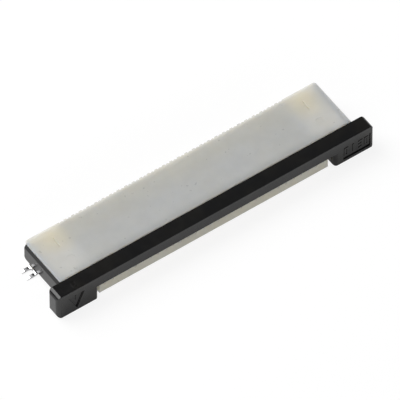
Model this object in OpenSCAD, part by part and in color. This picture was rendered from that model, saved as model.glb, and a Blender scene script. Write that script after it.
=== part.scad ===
// Right-angle surface-mount connector for flat flexible cable, with a slide lock.
// Millimetres. X runs along the contact row, -Y is the side where the cable enters, +Z is up
// from the circuit board. The origin is on the board, in the middle of the connector's footprint.

/* [Contact row] */
// Number of contacts
circuits = 30; // [4:1:40]
// Distance from one contact to the next
pitch = 1; // [0.9:0.05:1.3]
// Thickness of the contact metal
contact_t = 0.25; // [0.15:0.01:0.35]
// Room on each side of a contact in its slot
contact_side_gap = 0.03; // [0.02:0.01:0.08]

/* [Housing] */
// Height of the top face above the board
height = 3.64; // [3.5:0.02:4.4]
// Depth of the housing from the slider seam to its back
housing_d = 6.85; // [6.4:0.05:8]
// Length of the roof past the middle of the end contact
roof_end = 4.8; // [4.6:0.05:6]
// Overhang of the roof past the side wall
roof_overhang = 0.35; // [0.2:0.05:0.5]
// Thickness of the roof where it overhangs the slider arm
roof_edge_t = 0.35; // [0.25:0.05:0.5]
// Radius of the roof's back corners
roof_corner_r = 0.35; // [0.1:0.05:0.6]
// Air between the moulding and the board
standoff = 0.1; // [0.05:0.01:0.2]
// Height of the cable floor above the board
floor_z = 1.65; // [1.55:0.05:1.9]
// Reach of the cable floor in front of the seam
lip_reach = 1.47; // [1.2:0.01:1.7]
// Length of the cable floor past the middle of the end contact
lip_end = 0.75; // [0.6:0.05:0.9]
// Radius of the lip's lower front edge and ends
lip_r = 0.2; // [0.1:0.05:0.3]
// Wall between the cable pocket and the room for the contact bases
pocket_wall = 0.42; // [0.3:0.02:0.6]
// Length of the cable pocket past the middle of the end contact
pocket_end = 1.1; // [1.05:0.05:1.3]
// Width of the notch behind each contact
notch_w = 0.62; // [0.4:0.02:0.7]
// Depth of the notch behind each contact
notch_d = 0.11; // [0.05:0.01:0.2]
// Width of the nib that shields each contact at the roof's back edge
nib_w = 0.24; // [0.14:0.02:0.3]
// Reach of the nib out of the notch's floor
nib_d = 0.06; // [0.02:0.01:0.1]

/* [Marks on the roof] */
// Distance of the marks past the middle of the end contact
mark_x = 2.05; // [1.8:0.05:2.4]
// Diameter of the round ejector mark
ejector_d = 1.15; // [0.8:0.05:1.4]
// Distance of the ejector mark behind the seam
ejector_y = 1.9; // [1.4:0.05:2.4]
// Depth of the ejector mark
ejector_depth = 0.04; // [0.02:0.01:0.08]
// Width of the narrow slit
slit_w = 0.15; // [0.1:0.01:0.25]
// Length of the narrow slit
slit_l = 1.35; // [1:0.05:1.6]
// Distance of the slit's middle behind the seam
slit_y = 4.72; // [4.4:0.02:5]
// Depth of the slit
slit_depth = 0.15; // [0.05:0.05:0.4]

/* [Slider] */
// Length of the slider past the end of the roof
block_out = 1.7; // [1.4:0.05:2.1]
// Depth of the bar in front of the seam
bar_d = 1.885; // [1.75:0.005:2.2]
// Height of the bar
bar_h = 1.48; // [1.3:0.02:1.55]
// Air in the seam between the bar and the housing
seam_gap = 0.04; // [0.02:0.01:0.08]
// Travel from locked to open
travel = 1.6; // [1:0.1:1.8]
// Distance of the end block's inner face past the middle of the end contact
block_in = 1.2; // [1.1:0.05:1.4]
// Height of the end blocks above the board
block_z = 0.06; // [0.04:0.01:0.2]
// Radius of the slider's upper front edge
slider_edge_r = 0.15; // [0.05:0.01:0.2]
// Radius of the blocks' lower front edge
block_edge_r = 0.06; // [0.03:0.01:0.15]
// Radius of the slider's top end edges
end_top_r = 0.6; // [0.3:0.05:0.8]
// Radius of the left block's upright front corner
left_corner_r = 0.5; // [0.2:0.05:0.7]
// Radius of the right block's upright front corner
right_corner_r = 0.3; // [0.2:0.05:0.7]
// Radius of the upright back corners of both blocks
back_corner_r = 0.4; // [0.2:0.05:0.6]
// Radius of the left block's lower outer corner
left_toe_r = 0.75; // [0.3:0.05:0.9]
// Radius of the right block's lower outer corner
right_toe_r = 0.4; // [0.3:0.05:0.8]
// Radius of the lower inner corner of both blocks
block_heel_r = 0.35; // [0.15:0.05:0.5]
// Radius of the left block's upright inner corner
left_lead_r = 0.25; // [0.15:0.05:0.8]
// Radius of the right block's upright inner corner
right_lead_r = 0.6; // [0.15:0.05:0.8]
// Length of the tongue behind the seam
tongue_l = 2.9; // [2.4:0.05:3.4]
// Thickness of the tongue
tongue_t = 0.61; // [0.5:0.01:0.65]
// Space for the cable between the floor and the tongue
cable_gap = 0.36; // [0.3:0.01:0.42]
// Length of the tongue past the middle of the end contact
tongue_end = 0.95; // [0.8:0.05:1]
// Taper at the tongue's tip
tongue_taper = 0.25; // [0.1:0.05:0.3]

/* [Slider arms] */
// Length of the arm behind the seam
arm_l = 6.65; // [6:0.05:6.7]
// Thickness of the arm
arm_t = 0.5; // [0.4:0.05:0.55]
// Height of the arm's underside above the board
arm_z = 1.04; // [0.8:0.02:1.2]
// Air between the arm and the housing's side and roof
arm_gap = 0.05; // [0.03:0.01:0.08]
// Width of the bevel on the arm's upper outer edge
arm_bevel_w = 0.2; // [0.1:0.05:0.3]
// Height of that bevel
arm_bevel_h = 0.4; // [0.2:0.05:0.6]
// Radius of the arm's lower back corner
arm_end_r = 0.4; // [0.2:0.05:0.6]
// Catch on the inside of the arm: how far it stands in
catch_in = 0.22; // [0.15:0.01:0.3]
// Length of the catch
catch_l = 0.6; // [0.4:0.05:0.8]
// Distance of the catch's back end from the arm's tip
catch_back = 0.7; // [0.5:0.05:1]
// Height of the catch
catch_h = 1.2; // [0.8:0.1:1.4]

/* [Marks on the slider] */
// Depth of the pin-one triangle
triangle_depth = 0.16; // [0.1:0.02:0.3]
// Width of the triangle at its top
triangle_w = 2.1; // [1.6:0.1:2.6]
// Height of the triangle
triangle_h = 2.3; // [1.8:0.1:2.6]
// Distance of the triangle's tip from the slider's left end
triangle_x = 2.55; // [2.2:0.05:2.9]
// Distance of the triangle's inner corner from the slider's left end
triangle_in = 3.55; // [3.2:0.05:3.9]
// Height of the triangle's tip above the board
triangle_z = 0.45; // [0.4:0.05:0.6]
// Length of the framed recess on the right block
panel_l = 3.6; // [3:0.1:3.8]
// Height of the framed recess
panel_h = 2.15; // [1.6:0.05:2.3]
// Distance of the recess from the slider's right end
panel_x = 0.45; // [0.35:0.05:0.6]
// Height of the recess above the block's underside
panel_z = 0.45; // [0.3:0.05:0.6]
// Depth of the recess
panel_depth = 0.13; // [0.1:0.01:0.24]
// Height of the raised figures in the recess
panel_figure_h = 1.25; // [0.9:0.05:1.4]
// Height of the raised figure in the triangle
pin_figure_h = 0.75; // [0.5:0.05:0.9]
// Distance of that figure from the slider's left end
pin_figure_x = 2.2; // [2:0.05:2.4]
// Height of that figure's foot above the board
pin_figure_z = 1.75; // [1.6:0.05:1.85]
// How far the figures stand out of their recess
figure_relief = 0.05; // [0.03:0.01:0.1]
// Height of the engraved figures on the bar's top
cavity_figure_h = 0.85; // [0.5:0.05:0.9]
// Distance of the engraved figures from the slider's left end
cavity_x = 2; // [1.5:0.1:4]
// Distance of their foot from the bar's front face
cavity_y = 0.35; // [0.3:0.05:0.8]
// Depth of the engraved figures
cavity_depth = 0.05; // [0.02:0.01:0.08]

/* [Contacts] */
// Height of the contact bump above the cable floor
bump_h = 0.15; // [0.08:0.01:0.22]
// Distance of the bump's middle behind the seam
bump_y = 1.1; // [0.8:0.05:1.6]
// Length of the bump
bump_l = 0.5; // [0.3:0.05:0.7]
// Distance of the lower beam's taper behind the seam
beam_tip_y = 0.35; // [0.2:0.05:0.6]
// Distance of the contact's tip behind the lip's front face
tip_back = 0.05; // [0.03:0.01:0.15]
// Thickness of the tip that lies in the lip
tip_t = 0.2; // [0.15:0.01:0.26]
// Thickness of the lower beam
lower_beam_t = 0.42; // [0.3:0.02:0.45]
// How far the lower beam lies under the cable floor
lower_beam_drop = 0.12; // [0.08:0.02:0.2]
// Distance of the upper beam's tip behind the seam
upper_tip_y = 0.8; // [0.5:0.05:1.2]
// Thickness of the upper beam
upper_beam_t = 0.36; // [0.3:0.02:0.4]
// Running gap between the tongue and what lies above it
tongue_gap = 0.06; // [0.04:0.01:0.1]
// Length of the contact's solid base
base_l = 1.55; // [1.3:0.05:1.7]
// How far the base stands out behind the housing
base_out = 0.1; // [0.05:0.01:0.16]
// Height of the base's underside above the board
base_z = 0.5; // [0.45:0.05:0.6]
// Reach of the solder tail behind the housing
tail_reach = 1; // [0.7:0.05:1.4]
// Thickness of the solder tail
tail_t = 0.22; // [0.16:0.02:0.3]
// Length of one retention barb under the base
barb_l = 0.3; // [0.2:0.05:0.4]
// Height of the retention barbs
barb_h = 0.05; // [0.02:0.01:0.07]
// Room around a contact in the height and depth of its slot
slot_gap = 0.08; // [0.04:0.01:0.12]

/* [Fitting nails] */
// Thickness of the nail metal
nail_t = 0.25; // [0.2:0.01:0.3]
// Height of the nail's plate above the board
nail_rise = 0.12; // [0.08:0.01:0.16]
// Distance of the tine tips past the end of the roof
tine_out = 1.25; // [0.9:0.05:1.5]
// Length of the sloping face at a tine's tip
tine_slope = 0.4; // [0.2:0.05:0.5]
// Width of one tine
tine_w = 0.34; // [0.28:0.02:0.4]
// Distance between the middles of the two tines
tine_pitch = 1.08; // [0.9:0.02:1.3]
// Distance of the fork's middle behind the seam
fork_y = 5.26; // [5:0.02:5.4]
// Distance of the fork's crotch past the roof's end
crotch_out = 0.05; // [0:0.01:0.2]
// Extra width of the plate behind the back tine
plate_flare = 0.32; // [0.1:0.02:0.4]
// Distance of the upright tab from the side wall, inwards
tab_in = 0.4; // [0.35:0.05:0.5]
// Height of the upright tab's top above the board
tab_top = 2; // [1.6:0.1:2.2]
// Width of the upright tab
tab_w = 0.9; // [0.7:0.05:1.1]
// Room around the nail in the housing
nail_gap = 0.03; // [0.02:0.01:0.06]

/* [Hidden] */
$fn = 48;
over = 0.5;

// Sizes of a plain figure, as shares of its height
figure_w = 0.45;
figure_stroke = 0.16;
figure_step = 0.62;
figure_space = 0.3;

row_half = (circuits - 1) * pitch / 2;
roof_half = row_half + roof_end;
wall_half = roof_half - roof_overhang;
lip_half = row_half + lip_end;
pocket_half = row_half + pocket_end;
tongue_half = row_half + tongue_end;
block_half = row_half + block_in;
slider_half = roof_half + block_out;
slider_l = 2 * slider_half;

seam_y = (bar_d - housing_d - tail_reach) / 2;

roof_under_z = height - roof_edge_t;
bar_z = height - bar_h;
tongue_z = floor_z + cable_gap;
tongue_top = tongue_z + tongue_t;
pocket_top = tongue_top + tongue_gap;

slot_w = contact_t + 2 * contact_side_gap;
beam_top = floor_z - lower_beam_drop;
beam_low = beam_top - lower_beam_t;
tip_low = beam_top - tip_t;
bump_top = floor_z + bump_h;
upper_z = tongue_top + tongue_gap;
upper_top = upper_z + upper_beam_t;
notch_y = housing_d - notch_d;
base_back = housing_d + base_out;
base_front = base_back - base_l;
pocket_d = base_front - slot_gap - pocket_wall;
tail_back = housing_d + tail_reach;

arm_in = wall_half + arm_gap;
arm_out = arm_in + arm_t;
arm_top = roof_under_z - arm_gap;
catch_y1 = arm_l - catch_back;
catch_y0 = catch_y1 - catch_l;
catch_z = (arm_z + arm_top - catch_h) / 2;

tab_x = wall_half - tab_in;
tine_tip = roof_half + tine_out;
crotch_x = roof_half + crotch_out;
plate_top = nail_rise + nail_t;

IVORY = "#d9d5c8";
BLACK = "#1c1c1e";
TIN = "#c9cacc";

function two_digits(n) = n < 10 ? str("0", n) : str(n);
function contact_name(i) = str("contact_", two_digits(i));
function contact_x(i) = (i - 1) * pitch - row_half;

CONTACT_NODES = [for (i = [1:circuits]) contact_name(i)];

// Takes a square corner off a plate: the corner is at the origin and the plate lies towards sx, sy.
module corner_cut(r, sx, sy) {
    difference() {
        translate([sx > 0 ? -over : -r, sy > 0 ? -over : -r]) square(r + over);
        translate([sx * r, sy * r]) circle(r);
    }
}

// A box given by its low and high corners.
module span(low, high) {
    translate(low) cube(high - low);
}

// Stands a drawing of the Y-Z plane up and gives it a width along X, centred on x = 0.
module along_x(width) {
    rotate([90, 0, 90]) linear_extrude(width, center = true) children();
}

// Stands a drawing of the X-Z plane up between two depths.
module along_y(y0, y1) {
    translate([0, y1, 0]) rotate([90, 0, 0]) linear_extrude(y1 - y0) children();
}

module both_ends() {
    children();
    mirror([1, 0, 0]) children();
}

module at_contacts() {
    for (i = [1:circuits]) translate([contact_x(i), 0, 0]) children();
}

// Housing -----------------------------------------------------------------------------------

module roof_outline() {
    difference() {
        translate([-roof_half, 0]) square([2 * roof_half, housing_d]);
        translate([-roof_half, housing_d]) corner_cut(roof_corner_r, 1, -1);
        translate([roof_half, housing_d]) corner_cut(roof_corner_r, -1, -1);
    }
}

module lip() {
    intersection() {
        along_y(-lip_reach, over) difference() {
            translate([-lip_half, standoff]) square([2 * lip_half, floor_z - standoff]);
            translate([-lip_half, standoff]) corner_cut(lip_r, 1, 1);
            translate([lip_half, standoff]) corner_cut(lip_r, -1, 1);
        }
        along_x(2 * roof_half) difference() {
            translate([-lip_reach, standoff]) square([lip_reach + over, floor_z - standoff]);
            translate([-lip_reach, standoff]) corner_cut(lip_r, 1, 1);
        }
        linear_extrude(height) difference() {
            translate([-lip_half, -lip_reach]) square([2 * lip_half, lip_reach + over]);
            translate([-lip_half, -lip_reach]) corner_cut(lip_r, 1, 1);
            translate([lip_half, -lip_reach]) corner_cut(lip_r, -1, 1);
        }
    }
}

// The slot of one contact, cut along the whole depth of the housing.
module contact_slot() {
    along_x(slot_w) {
        // lower beam, open to the cable pocket
        translate([beam_tip_y - slot_gap, beam_low - slot_gap])
            square([base_back + over - beam_tip_y, floor_z + over - beam_low + slot_gap]);
        // its tip, open to the lip's front face
        translate([-lip_reach - over, tip_low - slot_gap])
            square([lip_reach + over + beam_tip_y, floor_z + over - tip_low + slot_gap]);
        // upper beam
        translate([upper_tip_y - slot_gap, pocket_top - over])
            square([base_back + over - upper_tip_y, over + upper_beam_t + slot_gap]);
        // base and solder tail, open to the back
        translate([base_front - slot_gap, base_z - slot_gap])
            square([base_l + slot_gap + over, upper_top + 2 * slot_gap - base_z]);
        translate([notch_y - tail_t - slot_gap, 0])
            square([notch_d + tail_t + slot_gap + over, base_z + over]);
    }
    // notch in the back face, with a nib under the roof's top that shields the contact
    difference() {
        span([-notch_w / 2, notch_y, 0], [notch_w / 2, housing_d + over, height + over]);
        span([-nib_w / 2, notch_y - over, upper_top + 2 * slot_gap],
             [nib_w / 2, notch_y + nib_d, height + 2 * over]);
    }
}

module housing_marks() {
    translate([row_half + mark_x, ejector_y, height - ejector_depth]) cylinder(h = over, d = ejector_d);
    translate([row_half + mark_x - slit_w / 2, slit_y - slit_l / 2, height - slit_depth])
        cube([slit_w, slit_l, slit_depth + over]);
}

// The pocket that the slider's catch runs in, long enough for the whole travel.
module catch_pocket() {
    span([wall_half - catch_in, catch_y0 - travel - arm_gap, catch_z - arm_gap],
         [roof_half, catch_y1 + arm_gap, catch_z + catch_h + arm_gap]);
}

// The room for the fitting nail: a slot for its upright tab and a relief for its plate.
module nail_room() {
    span([tab_x - nail_gap, fork_y - tab_w / 2 - nail_gap, 0],
         [tab_x + nail_t + nail_gap, fork_y + tab_w / 2 + nail_gap, tab_top + nail_gap]);
    span([tab_x - nail_gap, fork_y - tine_pitch / 2 - tine_w, 0],
         [roof_half, fork_y + tine_pitch / 2 + tine_w / 2 + plate_flare + nail_gap, plate_top + nail_gap]);
}

module housing() {
    color(IVORY) translate([0, seam_y, 0]) difference() {
        union() {
            translate([0, 0, roof_under_z]) linear_extrude(roof_edge_t) roof_outline();
            span([-wall_half, 0, standoff], [wall_half, housing_d, height - roof_edge_t / 2]);
            lip();
        }
        span([-pocket_half, -over, floor_z], [pocket_half, pocket_d, pocket_top]);
        at_contacts() contact_slot();
        both_ends() {
            housing_marks();
            catch_pocket();
            nail_room();
        }
    }
}

// Slider ------------------------------------------------------------------------------------

// The slider seen from the front: a bar with a block hanging from each end.
module slider_front() {
    difference() {
        translate([-slider_half, block_z]) square([slider_l, height - block_z]);
        translate([-block_half, block_z - over]) square([2 * block_half, bar_z - block_z + over]);
        translate([-slider_half, height]) corner_cut(end_top_r, 1, -1);
        translate([slider_half, height]) corner_cut(end_top_r, -1, -1);
        translate([-slider_half, block_z]) corner_cut(left_toe_r, 1, 1);
        translate([slider_half, block_z]) corner_cut(right_toe_r, -1, 1);
        translate([-block_half, block_z]) corner_cut(block_heel_r, -1, 1);
        translate([block_half, block_z]) corner_cut(block_heel_r, 1, 1);
    }
}

module slider_side() {
    difference() {
        translate([-bar_d, block_z]) square([bar_d - seam_gap, height - block_z]);
        translate([-bar_d, block_z]) corner_cut(block_edge_r, 1, 1);
        translate([-bar_d, height]) corner_cut(slider_edge_r, 1, -1);
    }
}

module slider_plan() {
    difference() {
        translate([-slider_half, -bar_d]) square([slider_l, bar_d - seam_gap]);
        translate([-slider_half, -bar_d]) corner_cut(left_corner_r, 1, 1);
        translate([slider_half, -bar_d]) corner_cut(right_corner_r, -1, 1);
        translate([-slider_half, -seam_gap]) corner_cut(back_corner_r, 1, -1);
        translate([slider_half, -seam_gap]) corner_cut(back_corner_r, -1, -1);
    }
}

// The rounded upright inner corners of the blocks, under the bar.
module lead_cuts() {
    linear_extrude(bar_z) {
        translate([-block_half, -bar_d]) corner_cut(left_lead_r, -1, 1);
        translate([block_half, -bar_d]) corner_cut(right_lead_r, 1, 1);
    }
}

// The pin-one triangle, with a raised figure 1 in it.
module pin_one_triangle() {
    difference() {
        along_y(-bar_d - over, -bar_d + triangle_depth)
            polygon([[triangle_x - slider_half, triangle_z],
                     [triangle_in - slider_half, triangle_z + triangle_h],
                     [triangle_in - triangle_w - slider_half, triangle_z + triangle_h]]);
        along_y(-bar_d + triangle_depth - figure_relief, -bar_d + over)
            translate([pin_figure_x - slider_half, pin_figure_z]) figure(1, pin_figure_h);
    }
}

// The strokes of a plain figure, named as on a seven-segment display.
function strokes(digit) =
    digit == 0 ? ["top", "bottom", "upper_left", "lower_left", "upper_right", "lower_right"] :
    digit == 1 ? ["upper_right", "lower_right"] :
    digit == 2 ? ["top", "middle", "bottom", "upper_right", "lower_left"] :
    ["top", "middle", "bottom", "upper_right", "lower_right"];

// One plain figure from 0 to 3, with its lower left corner at the origin.
module figure(digit, size) {
    width = size * figure_w;
    stroke = size * figure_stroke;
    bar = [width, stroke];
    post = [stroke, size / 2];
    for (s = strokes(digit)) {
        if (s == "top") translate([0, size - stroke]) square(bar);
        if (s == "middle") translate([0, (size - stroke) / 2]) square(bar);
        if (s == "bottom") square(bar);
        if (s == "upper_left") translate([0, size / 2]) square(post);
        if (s == "lower_left") square(post);
        if (s == "upper_right") translate([width - stroke, size / 2]) square(post);
        if (s == "lower_right") translate([width - stroke, 0]) square(post);
    }
}

// A row of plain figures. A value of -1 leaves a space.
module figures(digits, size, i = 0, x = 0) {
    if (i < len(digits)) {
        if (digits[i] >= 0) translate([x, 0]) figure(digits[i], size);
        figures(digits, size, i + 1, x + size * (digits[i] < 0 ? figure_space : figure_step));
    }
}

// The framed recess on the right block, with the numbers of the first and the last contact.
module framed_recess() {
    row_w = panel_figure_h * (3 * figure_step + figure_space + figure_w);
    figure_x = slider_half - panel_x - (panel_l + row_w) / 2;
    difference() {
        along_y(-bar_d - over, -bar_d + panel_depth)
            translate([slider_half - panel_x - panel_l, block_z + panel_z]) square([panel_l, panel_h]);
        along_y(-bar_d + panel_depth - figure_relief, -bar_d + over)
            translate([figure_x, block_z + panel_z + (panel_h - panel_figure_h) / 2])
                figures([0, 1, -1, 3, 0], panel_figure_h);
    }
}

// The mould's cavity number, engraved in the bar's top.
module cavity_number() {
    translate([cavity_x - slider_half, cavity_y - bar_d, height - cavity_depth])
        linear_extrude(over) figures([1, 2], cavity_figure_h);
}

module tongue() {
    along_x(2 * tongue_half)
        polygon([[-bar_d / 2, tongue_z],
                 [tongue_l - tongue_taper, tongue_z],
                 [tongue_l, tongue_z + tongue_taper],
                 [tongue_l, tongue_top],
                 [-seam_gap, tongue_top],
                 [-seam_gap, height - bar_h / 2],
                 [-bar_d / 2, height - bar_h / 2]]);
}

// The arm on the right side, with its catch.
module arm() {
    intersection() {
        along_y(-bar_d / 2, arm_l)
            polygon([[arm_in, arm_z],
                     [arm_out, arm_z],
                     [arm_out, arm_top - arm_bevel_h],
                     [arm_out - arm_bevel_w, arm_top],
                     [arm_in, arm_top]]);
        along_x(2 * slider_half) difference() {
            translate([-bar_d / 2, arm_z]) square([arm_l + bar_d / 2, arm_top - arm_z]);
            translate([arm_l, arm_z]) corner_cut(arm_end_r, -1, 1);
        }
    }
    translate([0, 0, catch_z]) linear_extrude(catch_h)
        polygon([[arm_in + arm_t / 2, catch_y0],
                 [arm_in - catch_in + arm_gap, catch_y0],
                 [arm_in - catch_in + arm_gap, catch_y0 + catch_l / 2],
                 [arm_in, catch_y1],
                 [arm_in + arm_t / 2, catch_y1]]);
}

module slider() {
    color(BLACK) translate([0, seam_y, 0]) difference() {
        union() {
            intersection() {
                along_y(-bar_d, -seam_gap) slider_front();
                along_x(slider_l) slider_side();
                linear_extrude(height) slider_plan();
            }
            tongue();
            both_ends() arm();
        }
        lead_cuts();
        pin_one_triangle();
        framed_recess();
        cavity_number();
    }
}

// Contacts ----------------------------------------------------------------------------------

// The side view of one contact: a fork whose upper beam backs the tongue and whose lower beam
// carries the bump, a base that holds it in the housing, and a tail that stands on the board.
module contact_profile() {
    rise = tail_t / 2;
    tip_y = tip_back - lip_reach;
    polygon([[base_back, upper_top],
             [upper_tip_y, upper_top],
             [upper_tip_y, upper_z],
             [base_front, upper_z],
             [base_front, beam_top],
             [bump_y + bump_l, beam_top],
             [bump_y + bump_l / 4, bump_top],
             [bump_y - bump_l / 4, bump_top],
             [bump_y - bump_l / 2, beam_top],
             [tip_y, beam_top],
             [tip_y, tip_low],
             [beam_tip_y, tip_low],
             [beam_tip_y + lower_beam_t, beam_low],
             [base_front, beam_low],
             [base_front, base_z],
             [base_front + barb_l, base_z - barb_h],
             [base_front + barb_l, base_z],
             [base_front + 2 * barb_l, base_z - barb_h],
             [base_front + 2 * barb_l, base_z],
             [base_back - tail_t, base_z],
             [base_back - tail_t, rise],
             [base_back - rise, 0],
             [tail_back, 0],
             [tail_back, tail_t - rise],
             [tail_back - rise, tail_t],
             [base_back + rise, tail_t],
             [base_back, tail_t + rise]]);
}

module contact(i) {
    color(TIN) translate([contact_x(i), seam_y, 0]) along_x(contact_t) contact_profile();
}

// Fitting nails -----------------------------------------------------------------------------

// The nail seen along the row: a plate that steps down to two solder feet with sloping tips.
module nail_profile() {
    foot_x = crotch_x + tine_w / 2;
    slope_x = tine_tip - tine_slope;
    polygon([[tab_x, nail_rise],
             [crotch_x - nail_t, nail_rise],
             [foot_x, 0],
             [tine_tip, 0],
             [tine_tip, nail_t / 2],
             [slope_x, nail_t],
             [foot_x, nail_t],
             [crotch_x, plate_top],
             [tab_x, plate_top]]);
}

// The nail seen from above: a fork with a rounded crotch and a flared plate.
module nail_plan() {
    front_y = fork_y - tine_pitch / 2 - tine_w / 2;
    back_y = fork_y + tine_pitch / 2 + tine_w / 2;
    crotch_r = (tine_pitch - tine_w) / 2;
    difference() {
        union() {
            translate([tab_x, front_y]) square([tine_tip - tab_x, back_y - front_y]);
            polygon([[tab_x, back_y - over],
                     [crotch_x, back_y - over],
                     [crotch_x, back_y],
                     [crotch_x - plate_flare, back_y + plate_flare],
                     [tab_x, back_y + plate_flare]]);
        }
        translate([crotch_x + crotch_r, fork_y]) circle(crotch_r);
        translate([crotch_x + crotch_r, fork_y - crotch_r]) square([slider_half, 2 * crotch_r]);
    }
}

module nail() {
    intersection() {
        along_y(0, housing_d) nail_profile();
        linear_extrude(height) nail_plan();
    }
    span([tab_x, fork_y - tab_w / 2, nail_rise], [tab_x + nail_t, fork_y + tab_w / 2, tab_top]);
}

module fitting_nail_right() {
    color(TIN) translate([0, seam_y, 0]) nail();
}

module fitting_nail_left() {
    color(TIN) mirror([1, 0, 0]) translate([0, seam_y, 0]) nail();
}

housing();
slider();
fitting_nail_left();
fitting_nail_right();
for (i = [1:circuits]) {
    contact(i);
}
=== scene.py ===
"""Finishes for a right-angle flat-cable connector with a slide lock.

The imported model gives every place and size. This script softens its sharp edges and
dresses each piece in the material that the real one has.
"""

import logging
import math
from dataclasses import dataclass, field
from enum import Enum

import bpy
import bmesh
from mathutils import Matrix, Vector


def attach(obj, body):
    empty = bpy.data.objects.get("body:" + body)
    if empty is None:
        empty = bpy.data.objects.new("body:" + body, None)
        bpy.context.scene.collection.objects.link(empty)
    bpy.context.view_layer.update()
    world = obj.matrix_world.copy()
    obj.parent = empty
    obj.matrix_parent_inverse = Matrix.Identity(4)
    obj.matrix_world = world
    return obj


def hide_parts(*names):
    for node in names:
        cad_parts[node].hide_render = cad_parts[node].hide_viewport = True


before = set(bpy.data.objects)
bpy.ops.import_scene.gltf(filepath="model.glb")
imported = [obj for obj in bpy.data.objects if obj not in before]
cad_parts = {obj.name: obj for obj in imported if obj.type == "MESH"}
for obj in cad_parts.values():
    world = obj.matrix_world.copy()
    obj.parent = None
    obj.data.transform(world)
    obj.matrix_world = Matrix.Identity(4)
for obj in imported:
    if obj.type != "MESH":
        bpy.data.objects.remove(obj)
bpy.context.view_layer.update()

LOG = logging.getLogger("connector")
MM = 0.001
MERGE_REACH = 0.5e-6
FLAT_DEGREES = 0.5
ROOM_PER_RADIUS = 2.2
LENGTH_PER_RADIUS = 1.2


class Body(Enum):
    """The bodies of the model that pieces ride on."""

    CONNECTOR = "connector_body"
    SLIDE = "slide_lock"


class Slot(Enum):
    """The record's material slots."""

    IVORY = "ivory_resin"
    BLACK = "black_resin"
    TIN = "tin_plate"


def srgb(code: str) -> tuple[float, float, float, float]:
    """Turns an sRGB hex colour into the linear colour that a node socket takes.

    Args:
        code: The colour as six hex digits with a leading #.

    Returns:
        Red, green, blue and a full alpha.
    """
    parts = (int(code[i : i + 2], 16) / 255 for i in (1, 3, 5))
    linear = [c / 12.92 if c <= 0.04045 else ((c + 0.055) / 1.055) ** 2.4 for c in parts]
    return (*linear, 1.0)


# Node helpers --------------------------------------------------------------------------------


def add_node(
    tree: bpy.types.NodeTree,
    kind: str,
    settings: dict[str, object] | None = None,
    inputs: dict[str | int, object] | None = None,
) -> bpy.types.Node:
    """Adds a node with its settings, socket values and links.

    Args:
        tree: The node tree that gets the node.
        kind: Blender's name of the node type.
        settings: Attributes of the node, by name.
        inputs: Socket values by socket name or number. An output socket is linked.

    Returns:
        The new node.
    """
    node = tree.nodes.new(kind)
    for name, value in (settings or {}).items():
        setattr(node, name, value)
    for name, value in (inputs or {}).items():
        if isinstance(value, bpy.types.NodeSocket):
            tree.links.new(value, node.inputs[name])
        else:
            node.inputs[name].default_value = value
    return node


def empty_material(name: str) -> bpy.types.Material:
    """Returns a new node material with no nodes in it."""
    material = bpy.data.materials.new(name)
    material.use_nodes = True
    material.node_tree.nodes.clear()
    return material


# Mesh helpers --------------------------------------------------------------------------------


def select_only(obj: bpy.types.Object) -> None:
    """Makes obj the one selected and active object."""
    bpy.ops.object.select_all(action="DESELECT")
    obj.hide_set(False)
    obj.select_set(True)
    bpy.context.view_layer.objects.active = obj


def settle_normals(obj: bpy.types.Object, degrees: float = 50.0) -> None:
    """Shades obj smooth with its flat faces kept flat.

    Args:
        obj: The mesh object.
        degrees: Faces that turn more than this from each other meet in a sharp edge.
    """
    select_only(obj)
    bpy.ops.object.shade_smooth()
    mesh = obj.data
    around: list[list[bpy.types.MeshPolygon]] = [[] for _ in mesh.vertices]
    for face in mesh.polygons:
        for corner in face.vertices:
            around[corner].append(face)
    limit = math.cos(math.radians(degrees))
    normals = []
    for face in mesh.polygons:
        for corner in face.vertices:
            near = [other for other in around[corner] if other.normal.dot(face.normal) > limit]
            widest = max((other.area for other in near), default=1.0)
            total = sum((other.normal * (other.area / widest) ** 2 for other in near), Vector())
            normals.append(total.normalized())
    mesh.normals_split_custom_set(normals)


def merged_copy(node: str, name: str) -> bpy.types.Object:
    """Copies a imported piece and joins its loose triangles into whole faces."""
    obj = bpy.data.objects.new(name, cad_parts[node].data.copy())
    bpy.context.scene.collection.objects.link(obj)
    select_only(obj)
    bpy.ops.object.mode_set(mode="EDIT")
    bpy.ops.mesh.select_all(action="SELECT")
    bpy.ops.mesh.remove_doubles(threshold=MERGE_REACH)
    bpy.ops.mesh.dissolve_limited(angle_limit=math.radians(FLAT_DEGREES))
    bpy.ops.object.mode_set(mode="OBJECT")
    return obj


def has_room(edge: bmesh.types.BMEdge, radius: float) -> bool:
    """Tells whether an edge and the faces beside it are wide enough for a rounding."""
    start = edge.verts[0].co
    along = (edge.verts[1].co - start).normalized()
    for face in edge.link_faces:
        across = (corner.co - start for corner in face.verts)
        if max((reach - along * reach.dot(along)).length for reach in across) < ROOM_PER_RADIUS * radius:
            return False
    return edge.calc_length() > LENGTH_PER_RADIUS * radius


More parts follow.
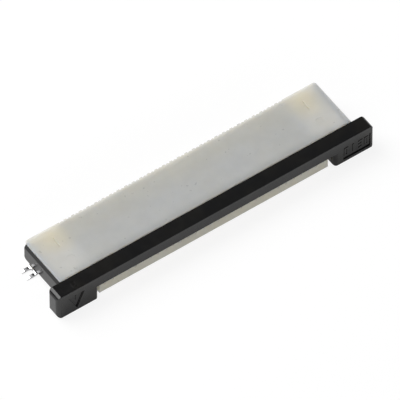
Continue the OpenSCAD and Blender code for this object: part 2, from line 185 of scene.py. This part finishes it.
def soften_edges(obj: bpy.types.Object, radius: float, segments: int = 2, degrees: float = 12.0) -> None:
    """Rounds the edges that have room for it, as a tool or a die leaves them.

    Args:
        obj: The mesh object.
        radius: How far the rounding runs in from each edge, in metres.
        segments: Faces across the rounding.
        degrees: Edges that turn less than this stay as they are.
    """
    low = [min(vertex.co[i] for vertex in obj.data.vertices) for i in range(3)]
    high = [max(vertex.co[i] for vertex in obj.data.vertices) for i in range(3)]
    select_only(obj)
    bpy.ops.object.mode_set(mode="EDIT")
    bpy.ops.mesh.select_mode(type="EDGE")
    bpy.ops.mesh.select_all(action="DESELECT")
    shape = bmesh.from_edit_mesh(obj.data)
    for edge in shape.edges:
        turn = math.degrees(edge.calc_face_angle(0.0))
        edge.select = turn > degrees and has_room(edge, radius)
    shape.select_flush_mode()
    bmesh.update_edit_mesh(obj.data)
    bpy.ops.mesh.bevel(offset=radius, segments=segments, affect="EDGES", clamp_overlap=False)
    bpy.ops.object.mode_set(mode="OBJECT")
    for vertex in obj.data.vertices:
        vertex.co = [min(max(vertex.co[i], low[i]), high[i]) for i in range(3)]
    settle_normals(obj)


def dress(obj: bpy.types.Object, material: bpy.types.Material) -> None:
    """Gives obj one material in every face."""
    obj.data.materials.clear()
    obj.data.materials.append(material)
    for polygon in obj.data.polygons:
        polygon.material_index = 0


def seat(obj: bpy.types.Object, body: Body, stands_for: list[str] | None = None) -> None:
    """Hands a finished piece to the frame.

    Args:
        obj: The piece, with its place in its mesh.
        body: The body it rides on.
        stands_for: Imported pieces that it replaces.
    """
    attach(obj, body.value)
    if stands_for:
        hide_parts(*stands_for)
    LOG.info("%s: %d faces on %s", obj.name, len(obj.data.polygons), body.value)


# Finishes ------------------------------------------------------------------------------------


def in_millimetres(tree: bpy.types.NodeTree, seam_y: float = 2.9825) -> bpy.types.NodeSocket:
    """Adds coordinates in millimetres, with Y counted from the seam between the two mouldings."""
    place = add_node(tree, "ShaderNodeTexCoord")
    scaled = add_node(
        tree,
        "ShaderNodeMapping",
        inputs={"Vector": place.outputs["Object"], "Location": (0, seam_y, 0), "Scale": (1000, 1000, 1000)},
    )
    return scaled.outputs[0]


def ramp(
    tree: bpy.types.NodeTree,
    value: bpy.types.NodeSocket,
    start: float,
    end: float,
    low: float,
    high: float,
) -> bpy.types.NodeSocket:
    """Adds a smooth change from one number to another.

    Args:
        tree: The node tree that gets the node.
        value: What the change follows.
        start: Where the result is still low.
        end: Where it is high.
        low: The result before the start.
        high: The result after the end.

    Returns:
        The result's socket.
    """
    step = add_node(
        tree,
        "ShaderNodeMapRange",
        {"interpolation_type": "SMOOTHSTEP"},
        {"Value": value, "From Min": start, "From Max": end, "To Min": low, "To Max": high},
    )
    return step.outputs[0]


def combine(
    tree: bpy.types.NodeTree, operation: str, *values: bpy.types.NodeSocket | float
) -> bpy.types.NodeSocket:
    """Adds a chain of Math nodes that joins all the values by one operation."""
    result = values[0]
    for value in values[1:]:
        node = add_node(tree, "ShaderNodeMath", {"operation": operation}, {0: result, 1: value})
        result = node.outputs[0]
    return result


def cloud(
    tree: bpy.types.NodeTree, place: bpy.types.NodeSocket, size: float, detail: float = 2.0
) -> bpy.types.NodeSocket:
    """Adds noise whose blots are about size millimetres across."""
    noise = add_node(
        tree, "ShaderNodeTexNoise", inputs={"Vector": place, "Scale": 1.0 / size, "Detail": detail}
    )
    return noise.outputs["Fac"]


@dataclass(frozen=True)
class IvoryResin:
    """Natural glass-filled nylon, injection moulded: pale, slightly see-through, satin."""

    name: str = "ivory_nylon_moulded"
    grey: str = "#c9c9c7"
    cream: str = "#d0cab8"
    ior: float = 1.53
    roughness: tuple[float, float] = (0.44, 0.56)
    # Painted light: the ends are drawn this much brighter, standing in for light that the translucent resin
    # takes in there.
    painted_end_light: float = 1.12
    # Painted shade: the colour along the seam, over the tongue, is scaled down to this.
    front_shade: float = 0.87
    slit_x: float = 16.4
    slit_y: float = 4.9
    half_length: float = 19.3

    def warmth(self, tree: bpy.types.NodeTree, place: bpy.types.NodeSocket) -> bpy.types.NodeSocket:
        """Adds how cream the resin is: most at the lip, the back edge and round the slits."""
        axes = add_node(tree, "ShaderNodeSeparateXYZ", inputs={0: place})
        side = combine(tree, "ABSOLUTE", axes.outputs["X"], 0.0)
        mirrored = add_node(tree, "ShaderNodeCombineXYZ", inputs={0: side, 1: axes.outputs["Y"]})
        reach = add_node(
            tree,
            "ShaderNodeVectorMath",
            {"operation": "DISTANCE"},
            {0: mirrored.outputs[0], 1: (self.slit_x, self.slit_y, 0.0)},
        )
        back = ramp(tree, axes.outputs["Y"], 2.4, 5.6, 0.2, 0.5)
        halo = ramp(tree, reach.outputs["Value"], 2.6, 0.6, 0.0, 0.4)
        lip = ramp(tree, axes.outputs["Y"], 0.3, -0.2, 0.0, 0.7)
        patchy = add_node(
            tree,
            "ShaderNodeMapRange",
            inputs={"Value": cloud(tree, place, 5.0), "To Min": -0.2, "To Max": 0.2},
        )
        return combine(tree, "ADD", back, halo, lip, patchy.outputs[0])

    def level(self, tree: bpy.types.NodeTree, place: bpy.types.NodeSocket) -> bpy.types.NodeSocket:
        """Adds painted light at the ends and edges, painted shade over the tongue, and mottle."""
        axes = add_node(tree, "ShaderNodeSeparateXYZ", inputs={0: place})
        side = combine(tree, "ABSOLUTE", axes.outputs["X"], 0.0)
        # Painted light: brighter towards both ends.
        ends = ramp(tree, side, 13.6, 16.2, 1.0, self.painted_end_light)
        # Painted light: a little brighter at the outer edges, where side light falls.
        edge = ramp(tree, side, self.half_length - 0.4, self.half_length, 1.0, 1.05)
        # Painted shade along the seam over the tongue, left out near the ends.
        over = ramp(tree, axes.outputs["Y"], 1.1, 0.1, 1.0, self.front_shade)
        held = ramp(tree, side, 16.6, 17.6, 0.0, 1.0)
        front = add_node(
            tree, "ShaderNodeMix", {"data_type": "FLOAT"}, {0: held, 2: over, 3: 1.0}
        ).outputs[0]
        mottle = ramp(tree, cloud(tree, place, 1.4, 3.0), 0.25, 0.75, 0.975, 1.025)
        speck = ramp(tree, cloud(tree, place, 0.35, 0.0), 0.80, 0.86, 1.0, 0.8)
        return combine(tree, "MULTIPLY", ends, edge, front, mottle, speck)

    def material(self) -> bpy.types.Material:
        """Returns the resin's material.

        The nylon lets light in for a millimetre or two, so its edges glow and its thin ribs
        look soft. The glass fibres leave the skin satin, with faint clouds from the flow.
        """
        material = empty_material(self.name)
        tree = material.node_tree
        place = in_millimetres(tree)
        tint = add_node(
            tree,
            "ShaderNodeMix",
            {"data_type": "RGBA"},
            {0: self.warmth(tree, place), 6: srgb(self.grey), 7: srgb(self.cream)},
        )
        colour = add_node(
            tree,
            "ShaderNodeVectorMath",
            {"operation": "SCALE"},
            {0: tint.outputs[2], "Scale": self.level(tree, place)},
        )
        satin = ramp(tree, cloud(tree, place, 0.8), 0.3, 0.7, *self.roughness)
        # The eroded skin's grain is about 0.02 mm; it is drawn at 0.15 mm so that it shows.
        grain = add_node(
            tree,
            "ShaderNodeBump",
            inputs={"Height": cloud(tree, place, 0.15), "Strength": 0.25, "Distance": 0.01 * MM},
        )
        resin = add_node(
            tree,
            "ShaderNodeBsdfPrincipled",
            inputs={
                "Base Color": colour.outputs[0],
                "Roughness": satin,
                "IOR": self.ior,
                "Normal": grain.outputs[0],
                "Subsurface Weight": 1.0,
                "Subsurface Radius": (1.0, 0.9, 0.75),
                "Subsurface Scale": 3.0 * MM,
            },
        )
        add_node(tree, "ShaderNodeOutputMaterial", inputs={"Surface": resin.outputs[0]})
        return material


@dataclass(frozen=True)
class BlackResin:
    """Black glass-filled polymer, injection moulded and glossy from a polished tool."""

    colour: str = "#121213"
    washed: str = "#191816"
    ior: float = 1.5
    roughness: tuple[float, float] = (0.12, 0.2)

    def material(self) -> bpy.types.Material:
        """Returns the resin's material.

        The polished tool gives soft mirror images, which the fibres just under the skin blur
        in some places more than in others.
        """
        material = empty_material("black_polymer_moulded")
        tree = material.node_tree
        place = in_millimetres(tree)
        flow = ramp(tree, cloud(tree, place, 2.5, 3.0), 0.35, 0.7, 0.0, 1.0)
        tint = add_node(
            tree,
            "ShaderNodeMix",
            {"data_type": "RGBA"},
            {0: flow, 6: srgb(self.colour), 7: srgb(self.washed)},
        )
        gloss = ramp(tree, cloud(tree, place, 0.9), 0.3, 0.7, *self.roughness)
        # Fibres lie about 0.01 mm under the skin; their print is drawn at 0.2 mm so that it shows.
        fibre = add_node(
            tree,
            "ShaderNodeBump",
            inputs={"Height": cloud(tree, place, 0.2), "Strength": 0.06, "Distance": 0.01 * MM},
        )
        resin = add_node(
            tree,
            "ShaderNodeBsdfPrincipled",
            inputs={
                "Base Color": tint.outputs[2],
                "Roughness": gloss,
                "IOR": self.ior,
                "Normal": fibre.outputs[0],
            },
        )
        add_node(tree, "ShaderNodeOutputMaterial", inputs={"Surface": resin.outputs[0]})
        return material


@dataclass(frozen=True)
class TinPlate:
    """Tin plated over stamped phosphor bronze."""

    colour: str = "#d8d8da"
    dull: str = "#b9b8b6"
    roughness: tuple[float, float] = (0.13, 0.24)

    def material(self) -> bpy.types.Material:
        """Returns the plating's material.

        Fresh tin is a soft silver mirror with duller clouds and a very fine crystal grain.
        """
        material = empty_material("tin_plated_bronze_stamped")
        tree = material.node_tree
        place = in_millimetres(tree)
        haze = ramp(tree, cloud(tree, place, 0.4, 3.0), 0.4, 0.75, 0.0, 1.0)
        tint = add_node(
            tree,
            "ShaderNodeMix",
            {"data_type": "RGBA"},
            {0: haze, 6: srgb(self.colour), 7: srgb(self.dull)},
        )
        polish = ramp(tree, cloud(tree, place, 0.25), 0.3, 0.7, *self.roughness)
        # Tin crystals are about 0.005 mm wide; they are drawn at 0.06 mm so that they show.
        crystal = add_node(
            tree,
            "ShaderNodeBump",
            inputs={"Height": cloud(tree, place, 0.06), "Strength": 0.15, "Distance": 0.003 * MM},
        )
        metal = add_node(
            tree,
            "ShaderNodeBsdfPrincipled",
            inputs={
                "Base Color": tint.outputs[2],
                "Roughness": polish,
                "Metallic": 1.0,
                "Normal": crystal.outputs[0],
            },
        )
        add_node(tree, "ShaderNodeOutputMaterial", inputs={"Surface": metal.outputs[0]})
        return material


# Sub-assemblies ------------------------------------------------------------------------------


@dataclass
class Housing:
    """The ivory moulding."""

    edge_r: float = 0.04 * MM
    finish: IvoryResin = field(default_factory=IvoryResin)

    def build(self) -> None:
        """Builds and dresses the moulding."""
        shell = merged_copy("housing", "housing_shell")
        soften_edges(shell, self.edge_r)
        dress(shell, self.finish.material())
        seat(shell, Body.CONNECTOR, ["housing"])


@dataclass
class SlideLock:
    """The black slider."""

    edge_r: float = 0.03 * MM
    finish: BlackResin = field(default_factory=BlackResin)

    def build(self) -> None:
        """Builds and dresses the slider."""
        bar = merged_copy("slider", "slider_moulding")
        soften_edges(bar, self.edge_r)
        dress(bar, self.finish.material())
        seat(bar, Body.SLIDE, ["slider"])


@dataclass
class Metalwork:
    """The contacts and the fitting nails."""

    edge_r: float = 0.02 * MM
    finish: TinPlate = field(default_factory=TinPlate)

    def build(self) -> None:
        """Builds and dresses every stamped piece."""
        tin = self.finish.material()
        for name in sorted(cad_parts):
            if name.startswith(("contact_", "fitting_nail_")):
                piece = merged_copy(name, f"{name}_plated")
                soften_edges(piece, self.edge_r)
                dress(piece, tin)
                seat(piece, Body.CONNECTOR, [name])


# Studio --------------------------------------------------------------------------------------


@dataclass
class Studio:
    """Floor, light and camera."""

    azimuth: float = -35.182
    elevation: float = 51.492
    distance: float = 1.2421
    lens: float = 1030.0
    aim_right: float = -0.722 * MM
    aim_up: float = 0.115 * MM
    seam_y: float = -2.9825 * MM
    top_z: float = 3.64 * MM
    key_size: float = 0.5
    key_light: float = 4.6
    front_light: float = 2.0
    wall_light: float = 0.3
    ceiling_light: float = 0.13
    wall_band: tuple[float, float] = (0.52, 0.30)
    front_band: tuple[float, float] = (-0.15, -0.65)
    low_band: tuple[float, float] = (0.50, 0.34)
    patch_band: tuple[float, float] = (0.72, 0.95)
    patch_way: tuple[float, float, float] = (0.36, 0.51, 0.78)
    key_way: tuple[float, float, float] = (-0.33, 0.51, 0.79)
    key_reach: float = 0.6
    table_size: float = 6.0
    card_albedo: float = 0.8
    mirrored_glow: float = 0.2
    shadow_albedo: float = 0.17
    camera_glow: float = 0.86
    sensor: float = 36.0
    clip: tuple[float, float] = (0.1, 10.0)

    def build(self) -> None:
        """Sets up the whole studio."""
        self.floor()
        self.world()
        self.softbox()
        self.camera()
        bpy.context.scene.view_settings.view_transform = "Standard"

    def axes(self) -> tuple[Vector, Vector, Vector]:
        """Returns the camera's right, up and back directions."""
        turn = math.radians(self.azimuth)
        tilt = math.radians(self.elevation)
        back = Vector(
            (math.sin(turn) * math.cos(tilt), -math.cos(turn) * math.cos(tilt), math.sin(tilt))
        )
        right = Vector((math.cos(turn), math.sin(turn), 0))
        return right, back.cross(right), back

    def floor(self) -> None:
        """Adds the white table, which shows white to the camera and keeps the shadow."""
        bpy.ops.object.select_all(action="DESELECT")
        bpy.ops.mesh.primitive_plane_add(size=self.table_size, location=(0, 0, 0))
        table = bpy.context.object
        table.name = "table"
        material = empty_material("white_table")
        tree = material.node_tree
        path = add_node(tree, "ShaderNodeLightPath")
        seen = combine(tree, "MAXIMUM", path.outputs["Is Glossy Ray"], path.outputs["Is Transmission Ray"])
        card = self.grey_card(tree, self.card_albedo)
        mirrored = self.glowing(tree, card, self.mirrored_glow)
        shown = self.glowing(tree, self.grey_card(tree, self.shadow_albedo), self.camera_glow)
        first = add_node(tree, "ShaderNodeMixShader", inputs={0: seen, 1: card, 2: mirrored})
        second = add_node(
            tree,
            "ShaderNodeMixShader",
            inputs={0: path.outputs["Is Camera Ray"], 1: first.outputs[0], 2: shown},
        )
        add_node(tree, "ShaderNodeOutputMaterial", inputs={"Surface": second.outputs[0]})
        dress(table, material)

    @staticmethod
    def grey_card(tree: bpy.types.NodeTree, albedo: float) -> bpy.types.NodeSocket:
        """Adds a matte grey surface that sends back a share of the light."""
        card = add_node(tree, "ShaderNodeBsdfDiffuse", inputs={"Color": (albedo, albedo, albedo, 1)})
        return card.outputs[0]

    @staticmethod
    def glowing(
        tree: bpy.types.NodeTree, surface: bpy.types.NodeSocket, strength: float
    ) -> bpy.types.NodeSocket:
        """Adds a white glow to a surface."""
        glow = add_node(tree, "ShaderNodeEmission", inputs={"Strength": strength})
        both = add_node(tree, "ShaderNodeAddShader", inputs={0: surface, 1: glow.outputs[0]})
        return both.outputs[0]

    def world(self) -> None:
        """Gives the room pale walls, a low bright front and a dark ceiling with a soft patch."""
        world = bpy.data.worlds.new("room")
        bpy.context.scene.world = world
        world.use_nodes = True
        tree = world.node_tree
        tree.nodes.clear()
        place = add_node(tree, "ShaderNodeTexCoord")
        sight = add_node(tree, "ShaderNodeSeparateXYZ", inputs={0: place.outputs["Generated"]})
        walls = ramp(tree, sight.outputs["Z"], *self.wall_band, 0.0, self.wall_light)
        ahead = ramp(tree, sight.outputs["Y"], *self.front_band, 0.0, self.front_light)
        low = ramp(tree, sight.outputs["Z"], *self.low_band, 0.0, 1.0)
        aside = add_node(
            tree,
            "ShaderNodeVectorMath",
            {"operation": "DOT_PRODUCT"},
            {0: place.outputs["Generated"], 1: Vector(self.patch_way).normalized()},
        )
        patch = ramp(tree, aside.outputs["Value"], *self.patch_band, 0.0, self.ceiling_light)
        front = combine(tree, "MULTIPLY", ahead, low)
        room = combine(tree, "ADD", front, walls, patch)
        path = add_node(tree, "ShaderNodeLightPath")
        level = combine(tree, "MAXIMUM", path.outputs["Is Camera Ray"], room)
        backdrop = add_node(
            tree,
            "ShaderNodeBackground",
            inputs={"Color": srgb("#ffffff"), "Strength": level},
        )
        add_node(tree, "ShaderNodeOutputWorld", inputs={"Surface": backdrop.outputs[0]})

    def softbox(self) -> None:
        """Hangs the key light up, behind and to the left."""
        towards = Vector(self.key_way).normalized()
        lamp = bpy.data.lights.new("softbox", "AREA")
        lamp.shape = "SQUARE"
        lamp.size = self.key_size
        lamp.energy = self.key_light * math.pi * lamp.size**2
        holder = bpy.data.objects.new("softbox", lamp)
        bpy.context.scene.collection.objects.link(holder)
        holder.location = towards * self.key_reach
        holder.rotation_mode = "QUATERNION"
        holder.rotation_quaternion = towards.to_track_quat("Z", "Y")
        holder.visible_camera = False

    def camera(self) -> None:
        """Places the camera at the three-quarter view from above."""
        right, up, back = self.axes()
        aim = right * self.aim_right + up * self.aim_up + Vector((0, self.seam_y, self.top_z))
        lens = bpy.data.cameras.new("camera")
        lens.lens = self.lens
        lens.sensor_width = self.sensor
        lens.clip_start, lens.clip_end = self.clip
        view = bpy.data.objects.new("camera", lens)
        bpy.context.scene.collection.objects.link(view)
        view.rotation_mode = "QUATERNION"
        view.location = aim + back * self.distance
        view.rotation_quaternion = Matrix((right, up, back)).transposed().to_quaternion()
        bpy.context.scene.camera = view


def main() -> None:
    """Builds the connector's looks and the studio around it."""
    logging.basicConfig(level=logging.INFO, format="%(name)s: %(message)s")
    Studio().build()
    Housing().build()
    SlideLock().build()
    Metalwork().build()


if __name__ == "__main__":
    main()
